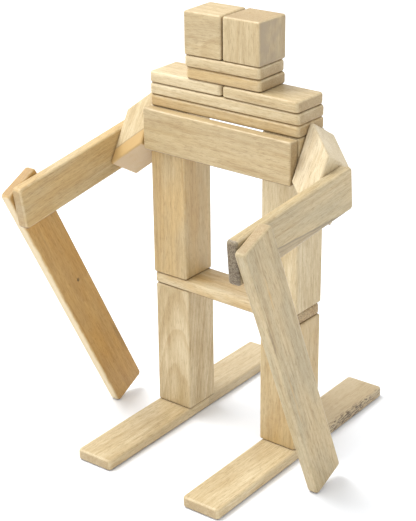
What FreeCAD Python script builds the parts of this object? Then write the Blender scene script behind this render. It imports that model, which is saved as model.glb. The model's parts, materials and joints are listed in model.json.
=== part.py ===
import FreeCAD, Part
import math
import os
import Sketcher
from FreeCAD import Placement, Rotation, Vector

# A standing figure built from magnetic wooden blocks: cubes, square columns, flat planks and two
# rhomboids. Every block is two glued halves of hardwood that meet on a seam plane, with disc magnets
# in pockets on that plane.
#
# Frame: +Z is up and the floor is Z = 0. The figure looks along -Y, so its own left is +X. The origin
# is on the floor, under the centre of the bounding box.
#
# Each block has a local frame at its centre. Local z is normal to its seam, so one half fills z > 0
# and the other z < 0.

# ---- driving dimensions, millimetres and degrees ---------------------------------------------------

DIMENSIONS = [
    ("cube_side", 30.0, "side of a cube, and the width of every plank and column"),
    ("plank_thick", 8.2, "thickness of every plank"),
    ("short_long", 61.5, "length of a short plank, two magnet cells"),
    ("long_long", 125.0, "length of a long plank, four magnet cells"),
    ("foot_long", 210.0, "length of a foot plank, seven magnet cells"),
    ("forearm_long", 222.0, "length of a forearm plank, seven magnet cells"),
    ("column_tall", 96.0, "height of a square column"),
    ("rhomb_base", 30.0, "base of a shoulder rhomboid, which leans at 45 degrees"),
    ("block_corner", 1.8, "rounding of the corners along a cube, column or rhomboid"),
    ("block_edge", 1.5, "rounding round the outer faces of a cube, column or rhomboid"),
    ("plank_corner", 3.0, "rounding of a plank's four corners, seen from its broad side"),
    ("plank_edge", 1.9, "rounding round a plank's broad faces"),
    ("chest_corner", 1.4, "rounding of the chest plank's four corners, which is sharper than the rest"),
    ("chest_edge", 1.2, "rounding round the chest plank's broad faces"),
    ("magnet_dia", 10.0, "diameter of a disc magnet"),
    ("magnet_thick", 3.0, "thickness of a disc magnet"),
    ("magnet_gap", 0.1, "glue space on every side of a magnet"),
    ("magnet_wall", 2.0, "wood between a magnet's pocket and the face it holds, in a thick block"),
    ("leg_apart", 95.0, "distance between the centres of the legs"),
    ("left_side", 62.75, "where the left shoulder block meets the body"),
    ("right_side", 63.75, "where the right shoulder block meets the body"),
    ("shoulder_lean", 30.3, "how far a shoulder block leans forward of straight down"),
    ("left_arm_drop", 5.2, "how far the left upper arm points below level"),
    ("right_arm_drop", 9.0, "how far the right upper arm points below level"),
    ("shift_x", 0.5, "from the middle of the legs to the origin, reversed, along X"),
    ("shift_y", 9.44, "from the middle of the legs to the origin, reversed, along Y"),
]

doc = FreeCAD.newDocument("block_figure")
sheet = doc.addObject("Spreadsheet::Sheet", "dims")
for row, (alias, value, note) in enumerate(DIMENSIONS, start=1):
    sheet.set(f"A{row}", note)
    sheet.set(f"B{row}", str(value))
    sheet.setAlias(f"B{row}", alias)
doc.recompute()
D = {alias: float(sheet.get(alias)) for alias, _, _ in DIMENSIONS}

# Each block was set down by hand, so it stands slightly off its place: millimetres along X and Y, then
# degrees about Z.
HAND_PLACED = {
    "left_foot": (2.0, -3.0, 0.9),
    "right_foot": (0.0, -0.1, 0.8),
    "left_shin": (0.7, -1.2, 0.3),
    "right_shin": (0.5, 1.3, 0.3),
    "knee_plank": (-0.4, 0.3, -1.1),
    "left_thigh": (0.0, 0.5, -0.1),
    "right_thigh": (-1.1, 1.3, -0.1),
    "chest_plank": (-0.3, 0.2, -0.9),
    "lower_shoulder_plank": (0.1, -0.1, -0.3),
    "upper_shoulder_plank": (0.1, -0.2, -0.2),
    "left_collar_plank": (0.3, -0.5, -0.9),
    "right_collar_plank": (-1.0, 0.2, 0.5),
    "lower_neck_plank": (0.4, 0.2, 0.7),
    "upper_neck_plank": (-0.3, -0.4, 1.5),
    "left_head_cube": (0.2, 0.8, 0.9),
    "right_head_cube": (-1.2, -0.4, 2.6),
}

# A plank is as long as this many magnet cells.
CELLS = {"short_long": 2, "long_long": 4, "foot_long": 7, "forearm_long": 7}

TINY = 0.001
CUT_TOLERANCE = 0.01
SIDES = (("left", 1), ("right", -1))
LOCAL_X, LOCAL_Y, LOCAL_Z = Vector(1, 0, 0), Vector(0, 1, 0), Vector(0, 0, 1)
POCKET_RADIUS = D["magnet_dia"] / 2 + D["magnet_gap"]
FACE_TO_MAGNET = D["magnet_wall"] + D["magnet_gap"] + D["magnet_thick"] / 2
RHOMB_REACH = D["rhomb_base"] / math.sqrt(2)
CHEST_Y = -(D["cube_side"] + D["plank_thick"]) / 2

# ---- sketch and feature helpers --------------------------------------------------------------------


def origin_plane(body, role):
    for feature in body.Origin.OriginFeatures:
        if feature.Role == role:
            return feature
    raise ValueError(role)


def new_sketch(body, name, role="XY_Plane"):
    sketch = body.newObject("Sketcher::SketchObject", name)
    sketch.AttachmentSupport = [(origin_plane(body, role), "")]
    sketch.MapMode = "FlatFace"
    return sketch


def bind(sketch, constraint, expression):
    """Add a dimension to a sketch and tie it to the sheet."""
    index = sketch.addConstraint(constraint)
    sketch.setExpression(f"Constraints[{index}]", expression)


def draw_outline(sketch, corners):
    """A closed outline of straight lines through the given corners."""
    count = len(corners)
    for i in range(count):
        start, end = Vector(*corners[i], 0), Vector(*corners[(i + 1) % count], 0)
        sketch.addGeometry(Part.LineSegment(start, end), False)
    for i in range(count):
        sketch.addConstraint(Sketcher.Constraint("Coincident", i, 2, (i + 1) % count, 1))


def draw_rectangle(sketch, long_expr, wide_expr):
    """A rectangle centred on the sketch's origin. Its first corners only give the solver a start."""
    draw_outline(sketch, [(-20, -10), (20, -10), (20, 10), (-20, 10)])
    for line in (0, 2):
        sketch.addConstraint(Sketcher.Constraint("Horizontal", line))
    for line in (1, 3):
        sketch.addConstraint(Sketcher.Constraint("Vertical", line))
    sketch.addConstraint(Sketcher.Constraint("Symmetric", 0, 1, 2, 1, -1, 1))
    bind(sketch, Sketcher.Constraint("DistanceX", 0, 1, 0, 2, 40), long_expr)
    bind(sketch, Sketcher.Constraint("DistanceY", 1, 1, 1, 2, 20), wide_expr)


def draw_rhomboid(sketch):
    """A parallelogram whose two slanted faces stand square to local x. The far one is shifted along y."""
    slant, reach = D["rhomb_base"] * math.sqrt(2), RHOMB_REACH
    low, high = -reach / 2 - slant / 2, -reach / 2 + slant / 2
    draw_outline(sketch, [(-reach / 2, low), (reach / 2, low + reach),
                          (reach / 2, high + reach), (-reach / 2, high)])
    for line in (1, 3):
        sketch.addConstraint(Sketcher.Constraint("Vertical", line))
    sketch.addConstraint(Sketcher.Constraint("Symmetric", 0, 1, 2, 1, -1, 1))
    bind(sketch, Sketcher.Constraint("DistanceX", 0, 1, 0, 2, reach), "dims.rhomb_base / sqrt(2)")
    bind(sketch, Sketcher.Constraint("DistanceY", 0, 1, 0, 2, reach), "dims.rhomb_base / sqrt(2)")
    bind(sketch, Sketcher.Constraint("DistanceY", 1, 1, 1, 2, slant), "dims.rhomb_base * sqrt(2)")


def round_edges(body, base, name, radius, wanted):
    edges = [f"Edge{i}" for i, edge in enumerate(base.Shape.Edges, start=1) if wanted(edge)]
    fillet = body.newObject("PartDesign::Fillet", name)
    fillet.Base = (base, edges)
    fillet.setExpression("Radius", radius)
    doc.recompute()
    return fillet


def check_cut(body, name, before, expected):
    """A pocket that points away from the wood cuts nothing and shows no error, so its volume is compared."""
    if abs(before - body.Shape.Volume - expected) > CUT_TOLERANCE * expected:
        raise RuntimeError(f"{body.Label}: {name} cut the wrong volume")


def draw_pocket_circle(sketch, along):
    """A magnet pocket's circle on the sketch's horizontal axis, along from the origin, or on it."""
    circle = sketch.addGeometry(Part.Circle(Vector(1, 1, 0), Vector(0, 0, 1), 5), False)
    bind(sketch, Sketcher.Constraint("Radius", circle, 5), "dims.magnet_dia / 2 + dims.magnet_gap")
    if along is None:
        sketch.addConstraint(Sketcher.Constraint("Coincident", circle, 3, -1, 1))
    else:
        sketch.addConstraint(Sketcher.Constraint("PointOnObject", circle, 3, -1))
        bind(sketch, Sketcher.Constraint("DistanceX", -1, 1, circle, 3, 1), along)


def pocket_from_seam(body, name, up, places, depth):
    """Round pockets sunk from the seam, one for each place along local x."""
    before = body.Shape.Volume
    sketch = new_sketch(body, name + "_sketch")
    for along in places:
        draw_pocket_circle(sketch, along)
    pocket = body.newObject("PartDesign::Pocket", name)
    pocket.Profile = sketch
    pocket.Reversed = up
    pocket.setExpression("Length", depth)
    doc.recompute()
    check_cut(body, name, before, len(places) * math.pi * POCKET_RADIUS ** 2 * float(pocket.Length))


def pockets_across_seam(body, role, size, near_along=None, far_along=None):
    """Half of each disc-shaped pocket that stands across the seam, behind two opposite faces of a block."""
    start = f"({size}) / 2 - dims.magnet_wall - dims.magnet_thick - 2 * dims.magnet_gap"
    for end, offset, along in (("near", f"-({start})", near_along), ("far", start, far_along)):
        before = body.Shape.Volume
        name = f"{body.Label}_{role[:2].lower()}_{end}"
        sketch = new_sketch(body, name + "_sketch", role)
        sketch.setExpression("AttachmentOffset.Base.z", offset)
        draw_pocket_circle(sketch, along)
        pocket = body.newObject("PartDesign::Pocket", name)
        pocket.Profile = sketch
        pocket.Reversed = end == "far"
        pocket.setExpression("Length", "dims.magnet_thick + 2 * dims.magnet_gap")
        doc.recompute()
        check_cut(body, name, before, math.pi * POCKET_RADIUS ** 2 * float(pocket.Length) / 2)


# ---- one half of a block ---------------------------------------------------------------------------


def half_block(name, draw, thick_expr, corner, edge, up, cut_pockets, place):
    """The half of a block on one side of its seam. It fills local z > 0 if up is true."""
    body = doc.addObject("PartDesign::Body", name)
    body.Label = name
    sketch = new_sketch(body, name + "_outline")
    draw(sketch)
    pad = body.newObject("PartDesign::Pad", name + "_pad")
    pad.Profile = sketch
    pad.Reversed = not up
    pad.setExpression("Length", f"({thick_expr}) / 2")
    doc.recompute()
    reach = float(pad.Length)

    def is_upright(line):
        low, high = sorted(abs(v.Z) for v in line.Vertexes)
        return low < TINY and high > reach - TINY

    def is_outer(line):
        return all(abs(v.Z) > reach - TINY for v in line.Vertexes)

    corners = round_edges(body, pad, name + "_corners", corner, is_upright)
    round_edges(body, corners, name + "_edges", edge, is_outer)
    cut_pockets(body, up)
    body.Placement = place
    return body


# ---- the four kinds of block -----------------------------------------------------------------------
# Each makes its two halves and returns where its magnets lie, as local centres and disc axes.


def make_plank(name, length, place, sides, corner="dims.plank_corner", edge="dims.plank_edge"):
    """A flat plank: local x runs along it. Its magnets lie flat in mid-thickness, one to a cell."""
    cells = CELLS[length]
    pitch = f"(dims.{length} - dims.cube_side) / {cells - 1}"
    steps = [i - (cells - 1) / 2 for i in range(cells)]
    places = [f"({pitch}) * ({step})" if step else None for step in steps]

    def draw(sketch):
        draw_rectangle(sketch, f"dims.{length}", "dims.cube_side")

    def cut_pockets(body, up):
        pocket_from_seam(body, body.Label + "_pockets", up, places, "dims.magnet_thick / 2 + dims.magnet_gap")

    for side, up in zip(sides, (True, False)):
        half_block(f"{name}_{side}", draw, "dims.plank_thick", corner, edge, up, cut_pockets, place)
    gap = (D[length] - D["cube_side"]) / (cells - 1)
    return [(LOCAL_X * (gap * step), LOCAL_Z) for step in steps]


def make_column(name, place, sides):
    """A square column: local y runs up it. It has a magnet behind each end."""
    def draw(sketch):
        draw_rectangle(sketch, "dims.cube_side", "dims.column_tall")

    def cut_pockets(body, up):
        pockets_across_seam(body, "XZ_Plane", "dims.column_tall")

    for side, up in zip(sides, (True, False)):
        half_block(f"{name}_{side}", draw, "dims.cube_side", "dims.block_corner", "dims.block_edge",
                   up, cut_pockets, place)
    reach = D["column_tall"] / 2 - FACE_TO_MAGNET
    return [(LOCAL_Y * reach, LOCAL_Y), (LOCAL_Y * -reach, LOCAL_Y)]


def make_cube(name, place, sides):
    """A cube with a magnet behind each of its six faces."""
    def draw(sketch):
        draw_rectangle(sketch, "dims.cube_side", "dims.cube_side")

    def cut_pockets(body, up):
        pockets_across_seam(body, "XZ_Plane", "dims.cube_side")
        pockets_across_seam(body, "YZ_Plane", "dims.cube_side")
        pocket_from_seam(body, body.Label + "_middle", up, [None], "dims.cube_side / 2 - dims.magnet_wall")

    for side, up in zip(sides, (True, False)):
        half_block(f"{name}_{side}", draw, "dims.cube_side", "dims.block_corner", "dims.block_edge",
                   up, cut_pockets, place)
    reach = D["cube_side"] / 2 - FACE_TO_MAGNET
    return [(axis * (reach * sign), axis) for axis in (LOCAL_X, LOCAL_Y, LOCAL_Z) for sign in (1, -1)]


def make_rhomboid(name, place, sides):
    """A shoulder rhomboid, with a magnet behind each slanted face. Local x points away from the body."""
    reach = "dims.rhomb_base / sqrt(2)"

    def cut_pockets(body, up):
        pockets_across_seam(body, "YZ_Plane", reach, f"-({reach}) / 2", f"({reach}) / 2")

    for side, up in zip(sides, (True, False)):
        half_block(f"{name}_{side}", draw_rhomboid, "dims.rhomb_base", "dims.block_corner",
                   "dims.block_edge", up, cut_pockets, place)
    along = RHOMB_REACH / 2 - FACE_TO_MAGNET
    return [(LOCAL_X * (along * sign) + LOCAL_Y * (RHOMB_REACH / 2 * sign), LOCAL_X) for sign in (1, -1)]


# ---- where the blocks stand ------------------------------------------------------------------------

magnet_places = {}


def add_magnets(group, place, magnets):
    for centre, axis in magnets:
        magnet_places.setdefault(group, []).append((place.multVec(centre), place.Rotation.multVec(axis)))


def stand(name, x, y, z, turn):
    """A placement for a block of the stack, with the small error of the hand that set it down."""
    dx, dy, twist = HAND_PLACED.get(name, (0.0, 0.0, 0.0))
    centre = Vector(x + dx + D["shift_x"], y + dy + D["shift_y"], z)
    return Placement(centre, Rotation(Vector(0, 0, 1), twist) * turn)


def facing(x_way, y_way):
    """A rotation that sends local x and y the given ways."""
    return Rotation(x_way, y_way, x_way.cross(y_way), "XYZ")


THICK, SIDE, COLUMN = D["plank_thick"], D["cube_side"], D["column_tall"]
ALONG_X = Rotation()
ALONG_Y = Rotation(Vector(0, 0, 1), 90)
UPRIGHT = Rotation(Vector(1, 0, 0), 90)
UPPER_LOWER, FRONT_REAR = ("upper", "lower"), ("front", "rear")

SHIN_Z = THICK
KNEE_Z = SHIN_Z + COLUMN
THIGH_Z = KNEE_Z + THICK
HIP_Z = THIGH_Z + COLUMN
STACK_Z = HIP_Z + SIDE


def build_leg(side, sign):
    """A foot plank, a shin, a thigh and, flush with the thigh, the cube that holds the shoulder block."""
    x = sign * D["leg_apart"] / 2
    place = stand(f"{side}_foot", x, 0, THICK / 2, ALONG_Y)
    add_magnets(f"{side}_foot", place, make_plank(f"{side}_foot", "foot_long", place, UPPER_LOWER))
    for name, base in ((f"{side}_shin", SHIN_Z), (f"{side}_thigh", THIGH_Z)):
        place = stand(name, x, 0, base + COLUMN / 2, UPRIGHT)
        add_magnets("frame", place, make_column(name, place, FRONT_REAR))
    place = stand(f"{side}_thigh", x, 0, HIP_Z + SIDE / 2, UPRIGHT)
    add_magnets("frame", place, make_cube(f"{side}_chest_cube", place, FRONT_REAR))


def build_trunk():
    """The planks that tie the legs together, and the neck."""
    level = STACK_Z + THICK / 2
    short_x = D["short_long"] / 2
    flat = [
        ("knee_plank", "long_long", 0, KNEE_Z + THICK / 2),
        ("lower_shoulder_plank", "long_long", 0, level),
        ("upper_shoulder_plank", "long_long", 0, level + THICK),
        ("left_collar_plank", "short_long", short_x, level + 2 * THICK),
        ("right_collar_plank", "short_long", -short_x, level + 2 * THICK),
        ("lower_neck_plank", "short_long", 0, level + 3 * THICK),
        ("upper_neck_plank", "short_long", 0, level + 4 * THICK),
    ]
    for name, length, x, z in flat:
        place = stand(name, x, 0, z, ALONG_X)
        add_magnets("frame", place, make_plank(name, length, place, UPPER_LOWER))
    place = stand("chest_plank", 0, CHEST_Y, HIP_Z + SIDE / 2, UPRIGHT)
    magnets = make_plank("chest_plank", "long_long", place, FRONT_REAR, "dims.chest_corner", "dims.chest_edge")
    add_magnets("chest_plank", place, magnets)
    for side, sign in SIDES:
        name = f"{side}_head_cube"
        place = stand(name, sign * SIDE / 2, 0, STACK_Z + 5 * THICK + SIDE / 2, UPRIGHT)
        add_magnets(name, place, make_cube(name, place, FRONT_REAR))


def reach_to_floor(elbow_z):
    """The forearm's lean from upright at which its rounded lower front corner rests on the floor."""
    corner = D["plank_corner"]
    along = D["forearm_long"] - SIDE / 2 - corner
    across = SIDE / 2 - corner
    return math.atan2(across, along) + math.acos((elbow_z - corner) / math.hypot(along, across))


def build_arm(side, sign):
    """A shoulder block on the chest cube's side, then an upper arm and a forearm, all held by one magnet."""
    lean = math.radians(D["shoulder_lean"])
    outward = Vector(sign, 0, 0)
    down = Vector(0, -math.sin(lean), -math.cos(lean))
    joint = Vector(sign * D[f"{side}_side"] + D["shift_x"], D["shift_y"], HIP_Z + SIDE / 2)
    arm_joint = joint + (outward + down) * RHOMB_REACH
    place = Placement((joint + arm_joint) * 0.5, facing(outward, down))
    sides = ("rear", "front") if sign > 0 else ("front", "rear")
    add_magnets(f"{side}_shoulder_block", place, make_rhomboid(f"{side}_shoulder_block", place, sides))

    sides = ("outer", "inner") if sign > 0 else ("inner", "outer")
    drop = math.radians(D[f"{side}_arm_drop"])
    back = Vector(0, math.cos(drop), math.sin(drop))
    rise = Vector(0, -math.sin(drop), math.cos(drop))
    middle = arm_joint - back * (D["long_long"] / 2 - SIDE / 2) + outward * (THICK / 2)
    place = Placement(middle, facing(back, rise))
    add_magnets(f"{side}_upper_arm", place, make_plank(f"{side}_upper_arm", "long_long", place, sides))

    elbow = arm_joint - back * (D["long_long"] - SIDE) + outward * THICK
    tilt = reach_to_floor(elbow.z)
    to_floor = Vector(0, math.sin(tilt), -math.cos(tilt))
    across = Vector(0, math.cos(tilt), math.sin(tilt))
    middle = elbow + to_floor * (D["forearm_long"] / 2 - SIDE / 2) + outward * (THICK / 2)
    place = Placement(middle, facing(to_floor, across))
    add_magnets(f"{side}_forearm", place, make_plank(f"{side}_forearm", "forearm_long", place, sides))
    for name, point in (("shoulder", joint), ("arm", arm_joint), ("elbow", elbow)):
        print(f"{side} {name} swivel at {point.x:.3f} {point.y:.3f} {point.z:.3f}")
    print(f"{side} forearm leans {math.degrees(tilt):.2f} degrees")


def build_magnets(group, places):
    """The disc magnets of one moving piece, as separate solids in one node."""
    discs = []
    for index, (centre, axis) in enumerate(places, start=1):
        disc = doc.addObject("Part::Cylinder", f"{group}_disc_{index}")
        disc.setExpression("Radius", "dims.magnet_dia / 2")
        disc.setExpression("Height", "dims.magnet_thick")
        disc.Placement = Placement(centre - axis * (D["magnet_thick"] / 2), Rotation(LOCAL_Z, axis))
        discs.append(disc)
    magnets = doc.addObject("Part::Compound", f"{group}_magnets")
    magnets.Label = f"{group}_magnets"
    magnets.Links = discs
    return magnets


for side, sign in SIDES:
    build_leg(side, sign)
    build_arm(side, sign)
build_trunk()
magnet_nodes = [build_magnets(group, places) for group, places in magnet_places.items()]
doc.recompute()

# ---- check every object, then write each sub-part --------------------------------------------------

for item in doc.Objects:
    if {"Invalid", "Error"} & set(item.State):
        raise RuntimeError(f"{item.Label} failed: {item.State}")

nodes = [item for item in doc.Objects if item.TypeId == "PartDesign::Body"] + magnet_nodes
os.makedirs("parts", exist_ok=True)
box = FreeCAD.BoundBox()
for node in nodes:
    if node.Shape.isNull() or not node.Shape.isValid() or not node.Shape.Solids:
        raise RuntimeError(f"{node.Label} has no valid solid")
    node.Shape.exportStep(f"parts/{node.Label}.step")
    box.add(node.Shape.BoundBox)
print(f"{len(nodes)} nodes; box {box.XMin:.2f} {box.XMax:.2f}, {box.YMin:.2f} {box.YMax:.2f}, "
      f"{box.ZMin:.2f} {box.ZMax:.2f}")
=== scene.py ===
import json
import math
import random

import bpy
from mathutils import Matrix, Vector


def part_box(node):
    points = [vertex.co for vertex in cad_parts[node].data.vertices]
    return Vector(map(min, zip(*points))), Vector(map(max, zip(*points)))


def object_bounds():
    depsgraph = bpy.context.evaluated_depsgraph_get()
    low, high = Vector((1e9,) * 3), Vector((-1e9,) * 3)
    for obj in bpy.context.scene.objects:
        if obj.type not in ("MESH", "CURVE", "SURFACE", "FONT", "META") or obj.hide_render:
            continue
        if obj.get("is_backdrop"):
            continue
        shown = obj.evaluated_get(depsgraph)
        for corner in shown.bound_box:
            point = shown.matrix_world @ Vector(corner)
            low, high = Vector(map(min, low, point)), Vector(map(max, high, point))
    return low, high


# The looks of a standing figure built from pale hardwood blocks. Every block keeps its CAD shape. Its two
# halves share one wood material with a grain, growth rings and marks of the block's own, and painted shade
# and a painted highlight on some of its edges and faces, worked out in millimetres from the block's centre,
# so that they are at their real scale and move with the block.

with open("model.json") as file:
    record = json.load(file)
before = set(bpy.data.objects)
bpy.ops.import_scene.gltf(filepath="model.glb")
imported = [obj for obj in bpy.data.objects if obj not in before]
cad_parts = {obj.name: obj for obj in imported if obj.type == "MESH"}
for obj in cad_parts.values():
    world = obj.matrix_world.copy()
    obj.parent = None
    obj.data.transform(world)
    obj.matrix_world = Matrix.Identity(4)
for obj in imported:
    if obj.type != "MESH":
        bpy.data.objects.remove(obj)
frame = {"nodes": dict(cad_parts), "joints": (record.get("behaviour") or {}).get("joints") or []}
joints = {joint["name"]: Vector(joint["pos_m"]) for joint in frame["joints"] if "pos_m" in joint}


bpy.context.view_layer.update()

MM = 0.001
X, Y, Z = Vector((1, 0, 0)), Vector((0, 1, 0)), Vector((0, 0, 1))

# ---- the blocks --------------------------------------------------------------------------------------

HALVES = (("upper", "lower"), ("front", "rear"), ("outer", "inner"))


def halves_of(block):
    """The two CAD nodes of a block."""
    for endings in HALVES:
        names = [f"{block}_{ending}" for ending in endings]
        if all(name in frame["nodes"] for name in names):
            return names
    raise ValueError(block)


def centre_of(block):
    boxes = [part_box(name) for name in halves_of(block)]
    low = Vector([min(box[0][i] for box in boxes) for i in range(3)])
    high = Vector([max(box[1][i] for box in boxes) for i in range(3)])
    return (low + high) / 2


def arm_axis(block):
    """The way an arm plank or a shoulder block points, away from the body, in the plane it turns in."""
    side, part = block.split("_", 1)
    shoulder, arm, elbow = (joints[f"{side}_{name}_swivel"] for name in ("shoulder", "arm", "elbow"))
    ends = {
        "shoulder_block": (shoulder, arm),
        "upper_arm": (arm, elbow),
        "forearm": (elbow, centre_of(block)),
    }
    start, end = ends[part]
    return Vector((0, end.y - start.y, end.z - start.z)).normalized()


# ---- a short way to write a material's nodes ---------------------------------------------------------


class Graph:
    """A material's node tree. Each call adds a node and returns its output."""

    def __init__(self, name):
        self.material = bpy.data.materials.new(name)
        self.material.use_nodes = True
        self.tree = self.material.node_tree
        self.tree.nodes.clear()

    def add(self, kind, **settings):
        node = self.tree.nodes.new(kind)
        for key, value in settings.items():
            setattr(node, key, value)
        return node

    def put(self, socket, value):
        """Links an output to the socket, or sets the socket to a number, a vector or a colour."""
        if isinstance(value, bpy.types.NodeSocket):
            self.tree.links.new(value, socket)
        else:
            socket.default_value = value

    def math(self, operation, first, second=0.0, clamp=False):
        node = self.add("ShaderNodeMath", operation=operation, use_clamp=clamp)
        self.put(node.inputs[0], first)
        self.put(node.inputs[1], second)
        return node.outputs[0]

    def vector(self, operation, first, second=(0, 0, 0), output="Vector"):
        node = self.add("ShaderNodeVectorMath", operation=operation)
        self.put(node.inputs[0], first)
        self.put(node.inputs[1], second)
        return node.outputs[output]

    def join(self, x, y, z):
        node = self.add("ShaderNodeCombineXYZ")
        for socket, value in zip(node.inputs, (x, y, z)):
            self.put(socket, value)
        return node.outputs[0]

    def noise(self, where, scale, detail=3.0, roughness=0.5, output="Fac"):
        node = self.add("ShaderNodeTexNoise")
        self.put(node.inputs["Vector"], where)
        self.put(node.inputs["Scale"], scale)
        self.put(node.inputs["Detail"], detail)
        self.put(node.inputs["Roughness"], roughness)
        return node.outputs[output]

    def fade(self, value, low, high, start=0.0, end=1.0):
        """start below low, end above high, and smooth between them."""
        node = self.add("ShaderNodeMapRange", interpolation_type="SMOOTHSTEP")
        for socket, number in zip(node.inputs, (value, low, high, start, end)):
            self.put(socket, number)
        return node.outputs[0]

    def mix(self, share, first, second, blend="MIX"):
        node = self.add("ShaderNodeMix", data_type="RGBA", blend_type=blend)
        self.put(node.inputs["Factor"], share)
        self.put(node.inputs[6], first)
        self.put(node.inputs[7], second)
        return node.outputs[2]

    def shade(self, share, base, tint):
        """Multiplies the base by a tint, where share is one."""
        return self.mix(share, base, tint, "MULTIPLY")

    def bump(self, height, strength, distance):
        node = self.add("ShaderNodeBump")
        node.inputs["Strength"].default_value = strength
        node.inputs["Distance"].default_value = distance
        self.put(node.inputs["Height"], height)
        return node.outputs[0]

    def surface(self, **sockets):
        """The material, with a principled shader added. A socket's name is given with _ for each space."""
        shader = self.add("ShaderNodeBsdfPrincipled")
        for name, value in sockets.items():
            self.put(shader.inputs[name.replace("_", " ")], value)
        output = self.add("ShaderNodeOutputMaterial")
        self.put(output.inputs["Surface"], shader.outputs[0])
        return self.material


def colour(red, green, blue):
    return (red, green, blue, 1.0)


# ---- wood --------------------------------------------------------------------------------------------

# The wood's own colours. Some of them also paint shade and a highlight on a few blocks.
PALE = colour(0.545, 0.435, 0.25)
CREAM = colour(0.66, 0.56, 0.365)
MILK = colour(0.74, 0.645, 0.46)
SAND = colour(0.48, 0.38, 0.22)
HONEY = colour(0.56, 0.405, 0.19)
TAN = colour(0.50, 0.325, 0.125)
WARM = colour(0.53, 0.322, 0.10)
GREY = colour(0.45, 0.375, 0.23)
GREYED = colour(0.335, 0.26, 0.165)
PINK = colour(0.54, 0.415, 0.265)
CUT_END = colour(0.30, 0.205, 0.105)
RUBBED = colour(0.62, 0.51, 0.32)
BROWN = colour(0.19, 0.115, 0.05)
STAIN = colour(0.16, 0.13, 0.085)
KNOT = colour(0.06, 0.03, 0.012)

# What the darker and lighter parts of the grain multiply the wood's own colour by, and the painted shade
# that darkens the rounded edges facing down.
LATE_TINT = colour(0.74, 0.64, 0.50)
BAND_TINT = colour(0.80, 0.72, 0.60)
FIBRE_TINT = colour(0.62, 0.53, 0.40)
PORE_TINT = colour(0.36, 0.27, 0.17)
LIGHT_TINT = colour(1.16, 1.19, 1.25)
# Painted shade: multiplied into the rounded edges that face down, standing in for the shade in the grooves
# between blocks.
UNDER_EDGE_SHADE_TINT = colour(0.28, 0.18, 0.10)

# The noises of the grain: features per mm across it, how far they are drawn out along it, detail, roughness.
WANDER = (0.035, 5.0, 2.0, 0.5)
CLOUD = (0.05, 3.5, 3.0, 0.55)
BANDS = (0.36, 18.0, 2.0, 0.5)
FIBRES = (1.35, 18.0, 4.0, 0.65)
HAIRS = (3.2, 16.0, 2.0, 0.5)
PORES = (1.9, 10.0, 1.0, 0.45)

# Growth rings: how far the grain wanders, in mm, and by how many rings their spacing varies.
WANDER_REACH = 9
UNEVEN_RINGS = 3.0

# How strongly the fibres, the rings and the pores are felt, and how deep they are.
WOOD_BUMP = 0.45
WOOD_RELIEF = 0.15 * MM


class Wood(Graph):
    """A sanded, satin hardwood. along is the way its grain runs and across is one of its faces' normals."""

    def __init__(self, block, along, across):
        name = f"{block}_wood"
        super().__init__(name)
        chance = random.Random(name)
        self.axes = (across, along.cross(across), along)
        coordinates = self.add("ShaderNodeTexCoord")
        self.facing = coordinates.outputs["Normal"]
        from_centre = self.vector("SUBTRACT", coordinates.outputs["Object"], centre_of(block))
        self.x, self.y, self.z = (
            self.vector("DOT_PRODUCT", from_centre, axis / MM, "Value") for axis in self.axes
        )
        self.place = self.join(self.x, self.y, self.z)
        self.shift = Vector([chance.uniform(-500, 500) for _ in range(3)])

    def streaks(self, scale, stretch, detail, roughness, output="Fac"):
        """Noise in features 1 / scale mm wide, drawn out along the grain."""
        where = self.join(self.x, self.y, self.math("MULTIPLY", self.z, 1 / stretch))
        return self.noise(self.vector("ADD", where, self.shift), scale, detail, roughness, output)

    def late_wood(self, spacing, pith, tilt):
        """The dark part of the growth rings, round a pith that may be tilted to the grain's direction."""
        wander = self.vector("SUBTRACT", self.streaks(*WANDER, "Color"), (0.5, 0.5, 0.5))
        wander = self.vector("MULTIPLY", wander, (WANDER_REACH, WANDER_REACH, 0))
        from_pith = [
            self.math("ADD", self.math("MULTIPLY", self.z, slope), start) for slope, start in zip(tilt, pith)
        ]
        place = self.vector("ADD", self.join(self.x, self.y, 0.0), self.join(*from_pith, 0.0))
        radius = self.vector("LENGTH", self.vector("ADD", place, wander), output="Value")
        uneven = self.noise(self.join(radius, self.shift.x, 0.0), 0.11, 2.0)
        uneven = self.math("MULTIPLY", uneven, UNEVEN_RINGS)
        phase = self.math("ADD", self.math("DIVIDE", radius, spacing), uneven)
        ring = self.math("FRACT", phase)
        late = self.math("MULTIPLY", self.fade(ring, 0.15, 0.9), self.fade(ring, 0.92, 1.0, 1.0, 0.0))
        number = self.join(self.math("FLOOR", phase), self.shift.y, 0.0)
        return self.math("MULTIPLY", late, self.fade(self.noise(number, 0.73, 0.0), 0.35, 0.65, 0.35, 1.0))

    def faces(self):
        """How far a point is on a cut end, and on a rounded edge."""
        turned = [
            self.math("ABSOLUTE", self.vector("DOT_PRODUCT", self.facing, axis, "Value"))
            for axis in self.axes
        ]
        flatness = self.math("MAXIMUM", self.math("MAXIMUM", turned[0], turned[1]), turned[2])
        return self.fade(turned[2], 0.78, 0.98), self.fade(flatness, 0.86, 0.999, 1.0, 0.0)


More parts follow.
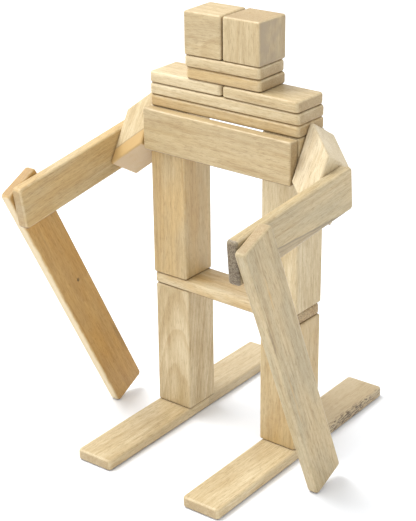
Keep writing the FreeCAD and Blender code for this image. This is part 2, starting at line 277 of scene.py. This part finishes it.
def wood(block, along, across, tone, warm, rings, spacing, pith, tilt, marks):
    """A block's own wood, which changes slowly between tone and warm. rings is the rings' contrast."""
    w = Wood(block, along, across)
    late = w.late_wood(spacing, pith, tilt)
    bands, fibres, hairs = w.streaks(*BANDS), w.streaks(*FIBRES), w.streaks(*HAIRS)
    pores = w.fade(w.streaks(*PORES), 0.56, 0.68)
    speckle = w.noise(w.vector("ADD", w.place, w.shift), 1.9, 3.0, 0.65)
    end, edge = w.faces()

    base = w.mix(w.fade(w.streaks(*CLOUD), 0.34, 0.66), tone, warm)
    for share, tint in (
        (w.fade(bands, 0.48, 0.74, 0.0, 0.55), BAND_TINT),
        (w.fade(bands, 0.26, 0.50, 0.4, 0.0), LIGHT_TINT),
        (w.math("MULTIPLY", late, rings), LATE_TINT),
        (w.fade(fibres, 0.48, 0.74, 0.0, 0.42), FIBRE_TINT),
        (w.fade(fibres, 0.26, 0.48, 0.5, 0.0), LIGHT_TINT),
        (w.math("MULTIPLY", pores, 0.28), PORE_TINT),
        (w.fade(hairs, 0.3, 0.7, 0.0, 0.35), LATE_TINT),
        (w.fade(speckle, 0.42, 0.72, 0.0, 0.35), LATE_TINT),
    ):
        base = w.shade(share, base, tint)

    # Cut ends drink in more light. Rounded edges are rubbed pale and smooth. Painted shade darkens the
    # rounded edges that face down, where shade falls under the blocks and in the grooves between them.
    rubbed = w.math("MULTIPLY", edge, w.fade(w.noise(w.place, 0.25, 3.0), 0.35, 0.65, 0.1, 0.4))
    downward = w.fade(w.vector("DOT_PRODUCT", w.facing, (0, 0, -1), "Value"), 0.42, 0.62)
    base = w.mix(w.math("MULTIPLY", end, w.fade(speckle, 0.38, 0.66, 0.35, 0.75)), base, CUT_END)
    base = w.mix(rubbed, base, RUBBED)
    # Painted shade on the rounded edges that face down.
    base = w.shade(w.math("MULTIPLY", edge, downward), base, UNDER_EDGE_SHADE_TINT)
    for mark in marks:
        base = mark(w, base)

    height = w.math("ADD", w.math("MULTIPLY", fibres, 0.6), w.math("MULTIPLY", late, 0.25))
    height = w.math("SUBTRACT", height, w.math("MULTIPLY", pores, 0.5))
    roughness = w.math("ADD", w.math("MULTIPLY", fibres, 0.20), 0.36)
    roughness = w.math("ADD", roughness, w.math("MULTIPLY", pores, 0.15))
    roughness = w.math("SUBTRACT", roughness, w.math("MULTIPLY", rubbed, 0.12))
    roughness = w.math("ADD", roughness, w.math("MULTIPLY", end, 0.14), clamp=True)
    return w.surface(Base_Color=base, Roughness=roughness, Normal=w.bump(height, WOOD_BUMP, WOOD_RELIEF))


# ---- marks in the wood, and painted shade and highlights ---------------------------------------------
# Places and sizes are millimetres from the block's centre: across, the third way and along the grain.

# How far a layer's planes wave, and how softly they begin and end.
LAYER_WAVE, LAYER_BLUR = 1.2, 0.9


def blot(at, size, tone, strength, broken=False):
    """A knot, a streak or a stain: a ragged ellipsoid in the wood, or one broken up into short streaks."""
    def draw(w, base):
        drawn_out = w.vector("MULTIPLY", w.place, (1, 1, 0.2))
        away = w.vector("DIVIDE", w.vector("SUBTRACT", w.place, at), size)
        distance = w.math("ADD", w.vector("LENGTH", away, output="Value"), w.noise(drawn_out, 0.8, 3.0))
        if broken:
            patches = w.fade(w.noise(drawn_out, 1.1, 4.0), 0.46, 0.56)
        else:
            patches = w.fade(w.noise(drawn_out, 0.6, 4.0), 0.36, 0.6, 0.5, 1.0)
        return w.mix(w.math("MULTIPLY", w.fade(distance, 0.9, 1.6, strength, 0.0), patches), base, tone)
    return draw


def layer(towards, start, end, tone, strength):
    """Another colour between two parallel, slightly wavy planes, start and end along towards. It draws bands
    of other wood, and also painted shade and a painted highlight.
    """
    def draw(w, base):
        wave = w.math("MULTIPLY", w.noise(w.place, 0.12, 2.0), LAYER_WAVE)
        depth = w.math("ADD", w.vector("DOT_PRODUCT", w.place, towards, "Value"), wave)
        begun = w.fade(depth, start, start + LAYER_BLUR)
        inside = w.math("MULTIPLY", begun, w.fade(depth, end - LAYER_BLUR, end, 1.0, 0.0))
        return w.mix(w.math("MULTIPLY", inside, strength), base, tone)
    return draw


# ---- which wood each block has, and its painted shade and highlights ---------------------------------

DEFAULT = {"tone": PALE, "warm": CREAM, "rings": 0.22, "spacing": 3.4, "marks": ()}

# Towards the lower slanted side of the right shoulder block. It is 1.41 long, and so 1.41 along it is 1 mm.
TO_UNDERSIDE = (1, 0, 1)

# The end of a layer that goes on to the block's own end.
PAST_END = 200

BLOCKS = {
    "left_head_cube": {
        "along": Z, "across": Y, "tone": SAND, "warm": PALE, "pith": (-34, 22),
        # Painted shade: the cube's +X side face is darker and greyer.
        "marks": (layer((0, -1, 0), 15.0, PAST_END, GREYED, 0.9),),
    },
    "right_head_cube": {
        "along": X, "across": Y, "tone": SAND, "warm": PALE, "rings": 0.4, "pith": (-30, 12),
        "tilt": (0.12, 0.1),
    },
    "upper_neck_plank": {"along": X, "across": Z},
    "lower_neck_plank": {"along": X, "across": Z, "warm": HONEY},
    "left_collar_plank": {"along": X, "across": Z},
    "right_collar_plank": {"along": X, "across": Z},
    "upper_shoulder_plank": {"along": X, "across": Z},
    "lower_shoulder_plank": {"along": X, "across": Z, "warm": HONEY},
    "chest_plank": {
        "along": X, "across": Y, "tone": SAND, "warm": PALE, "rings": 0.35, "pith": (-26, 6),
        "tilt": (0.03, 0.10),
    },
    "left_chest_cube": {"along": Z, "across": Y, "warm": HONEY},
    "right_chest_cube": {"along": Z, "across": Y},
    "left_thigh": {"along": Z, "across": Y},
    "right_thigh": {"along": Z, "across": Y, "warm": HONEY, "rings": 0.35, "pith": (4, 60)},
    "knee_plank": {
        "along": X, "across": Z, "tone": CREAM, "warm": HONEY,
        "marks": (blot((0, 0, 62), (9, 30, 5), BROWN, 0.6, broken=True),),
    },
    "left_shin": {
        "along": Z, "across": Y, "tone": HONEY, "warm": PALE, "spacing": 6.0, "rings": 0.3,
        "pith": (-30, 8), "tilt": (-0.10, 0.0),
    },
    "right_shin": {
        "along": Z, "across": Y, "warm": CREAM, "rings": 0.6, "spacing": 3.4,
        "pith": (-22, 3), "tilt": (-0.14, 0.02),
    },
    "left_foot": {
        "along": Y, "across": Z,
        "marks": (
            # The rear of the foot is darker and greyer: partly painted shade, partly a greyer wood.
            layer((0, 0, 1), 25, PAST_END, GREYED, 0.45),
            blot((1, 15, 62), (7, 5, 52), KNOT, 0.8, broken=True),
        ),
    },
    "right_foot": {
        "along": Y, "across": Z, "tone": CREAM, "warm": PALE, "rings": 0.3,
        # The rear of the foot is darker and greyer: partly painted shade, partly a greyer wood.
        "marks": (layer((0, 0, 1), 10, PAST_END, GREYED, 0.35),),
    },
    "left_shoulder_block": {"across": X, "tone": MILK, "warm": CREAM, "rings": 0.15},
    "right_shoulder_block": {
        "across": X, "tone": CREAM, "warm": PALE, "rings": 0.15,
        "marks": (
            # A tan band with a darker brown line along its edge, and pink from there to the lower slanted
            # side.
            layer(TO_UNDERSIDE, 9.2, PAST_END, TAN, 0.95),
            layer(TO_UNDERSIDE, 8.4, 10.4, BROWN, 0.45),
            layer(TO_UNDERSIDE, 21.0, PAST_END, PINK, 0.9),
        ),
    },
    "left_upper_arm": {
        "across": X, "tone": PALE, "warm": GREY,
        "marks": (
            layer((0, -1, 0.1), 9.5, PAST_END, GREYED, 0.5),
            layer((0, -1, 0.1), 8.7, 10.7, STAIN, 0.65),
            layer((0, -1, 0.06), 11.3, 12.8, STAIN, 0.4),
            layer((0, 0, 1), 60.6, PAST_END, STAIN, 0.75),
            blot((0, 0, 63), (9, 24, 5), KNOT, 0.7, broken=True),
        ),
    },
    "right_upper_arm": {"across": X, "tone": PALE, "warm": HONEY, "rings": 0.4},
    "left_forearm": {
        "across": X, "tone": GREY, "warm": PALE, "rings": 0.35,
        "marks": (
            blot((4.1, 13.2, -38), (1.6, 1.2, 17), BROWN, 0.6),
            blot((4.1, 4, -70), (1.5, 0.8, 16), WARM, 0.6),
            blot((4.1, 9, 20), (1.5, 0.7, 26), WARM, 0.5),
        ),
    },
    "right_forearm": {
        "across": X, "tone": WARM, "warm": TAN, "rings": 0.3,
        "marks": (
            # Painted highlight: the narrow front face and its rounded edge turned pale, where they catch the
            # light.
            layer((0, 1, 0), 14.6, PAST_END, CREAM, 0.7),
            blot((4.1, -3.5, -10), (2.2, 1.6, 2.2), KNOT, 1.0),
            blot((4.1, -12, 62), (3, 2.4, 20), BROWN, 0.5),
            blot((4.1, 6, -60), (2, 0.6, 14), BROWN, 0.35),
        ),
    },
}


def dress_blocks():
    for block, own in BLOCKS.items():
        look = {**DEFAULT, **own}
        if "along" not in own:
            look["along"] = arm_axis(block)
        chance = random.Random(block + " pith")
        turn, away = chance.uniform(0, 2 * math.pi), chance.uniform(28, 60)
        look.setdefault("pith", (math.cos(turn) * away, math.sin(turn) * away))
        look.setdefault("tilt", (chance.uniform(-0.06, 0.06), chance.uniform(-0.06, 0.06)))
        material = wood(block, **look)
        for name in halves_of(block):
            paint(name, material)


def paint(name, material):
    for slot in frame["nodes"][name].material_slots:
        slot.material = material


# ---- magnets -----------------------------------------------------------------------------------------

DULL_NICKEL = colour(0.58, 0.57, 0.55)
BRIGHT_NICKEL = colour(0.70, 0.69, 0.67)


def nickel():
    """Plated disc magnets, with the faint swirl of tumbled plating."""
    g = Graph("nickel_plate")
    swirl = g.noise(g.add("ShaderNodeTexCoord").outputs["Object"], 0.9 / MM, 4.0, 0.6)
    return g.surface(
        Base_Color=g.mix(swirl, DULL_NICKEL, BRIGHT_NICKEL),
        Roughness=g.fade(swirl, 0.3, 0.7, 0.18, 0.34),
        Metallic=1.0,
        Normal=g.bump(swirl, 0.1, 0.05 * MM),
    )


def dress_magnets():
    material = nickel()
    for name in frame["nodes"]:
        if name.endswith("_magnets"):
            paint(name, material)


# ---- floor, light and camera -------------------------------------------------------------------------

FLOOR_HALF = 6.0
FLOOR_DROP = 0.0002
FLOOR_COLOUR = colour(0.90, 0.92, 0.95)

# The studio's brightness near the horizon and overhead, and the heights of the sky where it changes.
HORIZON_STRENGTH, ZENITH_STRENGTH = 1.05, 0.95
HORIZON_HEIGHT, ZENITH_HEIGHT = 0.1, 0.8

# Softboxes: place from the figure's middle and side in metres, power in watts.
SOFTBOXES = {
    "overhead": ((-0.85, -0.35, 1.85), 1.2, 44.0),
    "front_left": ((-0.7, -1.3, 0.7), 1.0, 3.0),
}

# The camera's angles in degrees, its distance in metres and its lens in mm.
CAMERA_AZIMUTH = 38.17
CAMERA_ELEVATION = 23.567
CAMERA_ROLL = -0.619
CAMERA_DISTANCE = 0.98844
CAMERA_LENS = 98.09
AIM_FROM_MIDDLE = Vector((-0.0102, -0.0080, -0.0189))


def middle():
    return sum(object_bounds(), Vector()) / 2


def build_floor():
    mesh = bpy.data.meshes.new("floor")
    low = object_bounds()[0].z - FLOOR_DROP
    corners = [(x * FLOOR_HALF, y * FLOOR_HALF, low) for x, y in ((-1, -1), (1, -1), (1, 1), (-1, 1))]
    mesh.from_pydata(corners, [], [(0, 1, 2, 3)])
    floor = bpy.data.objects.new("floor", mesh)
    bpy.context.scene.collection.objects.link(floor)
    material = Graph("pale_floor").surface(Base_Color=FLOOR_COLOUR, Roughness=0.9, Specular_IOR_Level=0.1)
    mesh.materials.append(material)
    floor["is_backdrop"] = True


def build_softbox(name, from_middle, side, power):
    data = bpy.data.lights.new(name, "AREA")
    data.shape = "SQUARE"
    data.size = side
    data.energy = power
    light = bpy.data.objects.new(name, data)
    light.location = middle() + Vector(from_middle)
    light.rotation_mode = "QUATERNION"
    light.rotation_quaternion = (-Vector(from_middle)).to_track_quat("-Z", "Y")
    bpy.context.scene.collection.objects.link(light)


def build_light():
    """A white studio that is a little brighter near the horizon, with the softboxes."""
    world = bpy.data.worlds.new("studio")
    bpy.context.scene.world = world
    world.use_nodes = True
    tree = world.node_tree
    direction = tree.nodes.new("ShaderNodeTexCoord")
    split = tree.nodes.new("ShaderNodeSeparateXYZ")
    brightness = tree.nodes.new("ShaderNodeMapRange")
    limits = (HORIZON_HEIGHT, ZENITH_HEIGHT, HORIZON_STRENGTH, ZENITH_STRENGTH)
    for socket, value in zip(brightness.inputs[1:], limits):
        socket.default_value = value
    tree.links.new(direction.outputs["Generated"], split.inputs[0])
    tree.links.new(split.outputs["Z"], brightness.inputs[0])
    tree.links.new(brightness.outputs[0], tree.nodes["Background"].inputs["Strength"])
    tree.nodes["Background"].inputs["Color"].default_value = colour(1.0, 1.0, 1.0)
    for name, (from_middle, side, power) in SOFTBOXES.items():
        build_softbox(name, from_middle, side, power)


def build_camera():
    azimuth, elevation = math.radians(CAMERA_AZIMUTH), math.radians(CAMERA_ELEVATION)
    back = Vector((
        math.sin(azimuth) * math.cos(elevation),
        -math.cos(azimuth) * math.cos(elevation),
        math.sin(elevation),
    ))
    right = Vector((math.cos(azimuth), math.sin(azimuth), 0))
    roll = Matrix.Rotation(math.radians(CAMERA_ROLL), 3, "Z")
    turn = Matrix((right, back.cross(right), back)).transposed() @ roll
    camera = bpy.data.objects.new("camera", bpy.data.cameras.new("camera"))
    bpy.context.scene.collection.objects.link(camera)
    camera.location = middle() + AIM_FROM_MIDDLE + back * CAMERA_DISTANCE
    camera.rotation_mode = "QUATERNION"
    camera.rotation_quaternion = turn.to_quaternion()
    camera.data.lens = CAMERA_LENS
    bpy.context.scene.camera = camera


dress_blocks()
dress_magnets()
build_floor()
build_light()
build_camera()
bpy.context.scene.view_settings.view_transform = "Standard"
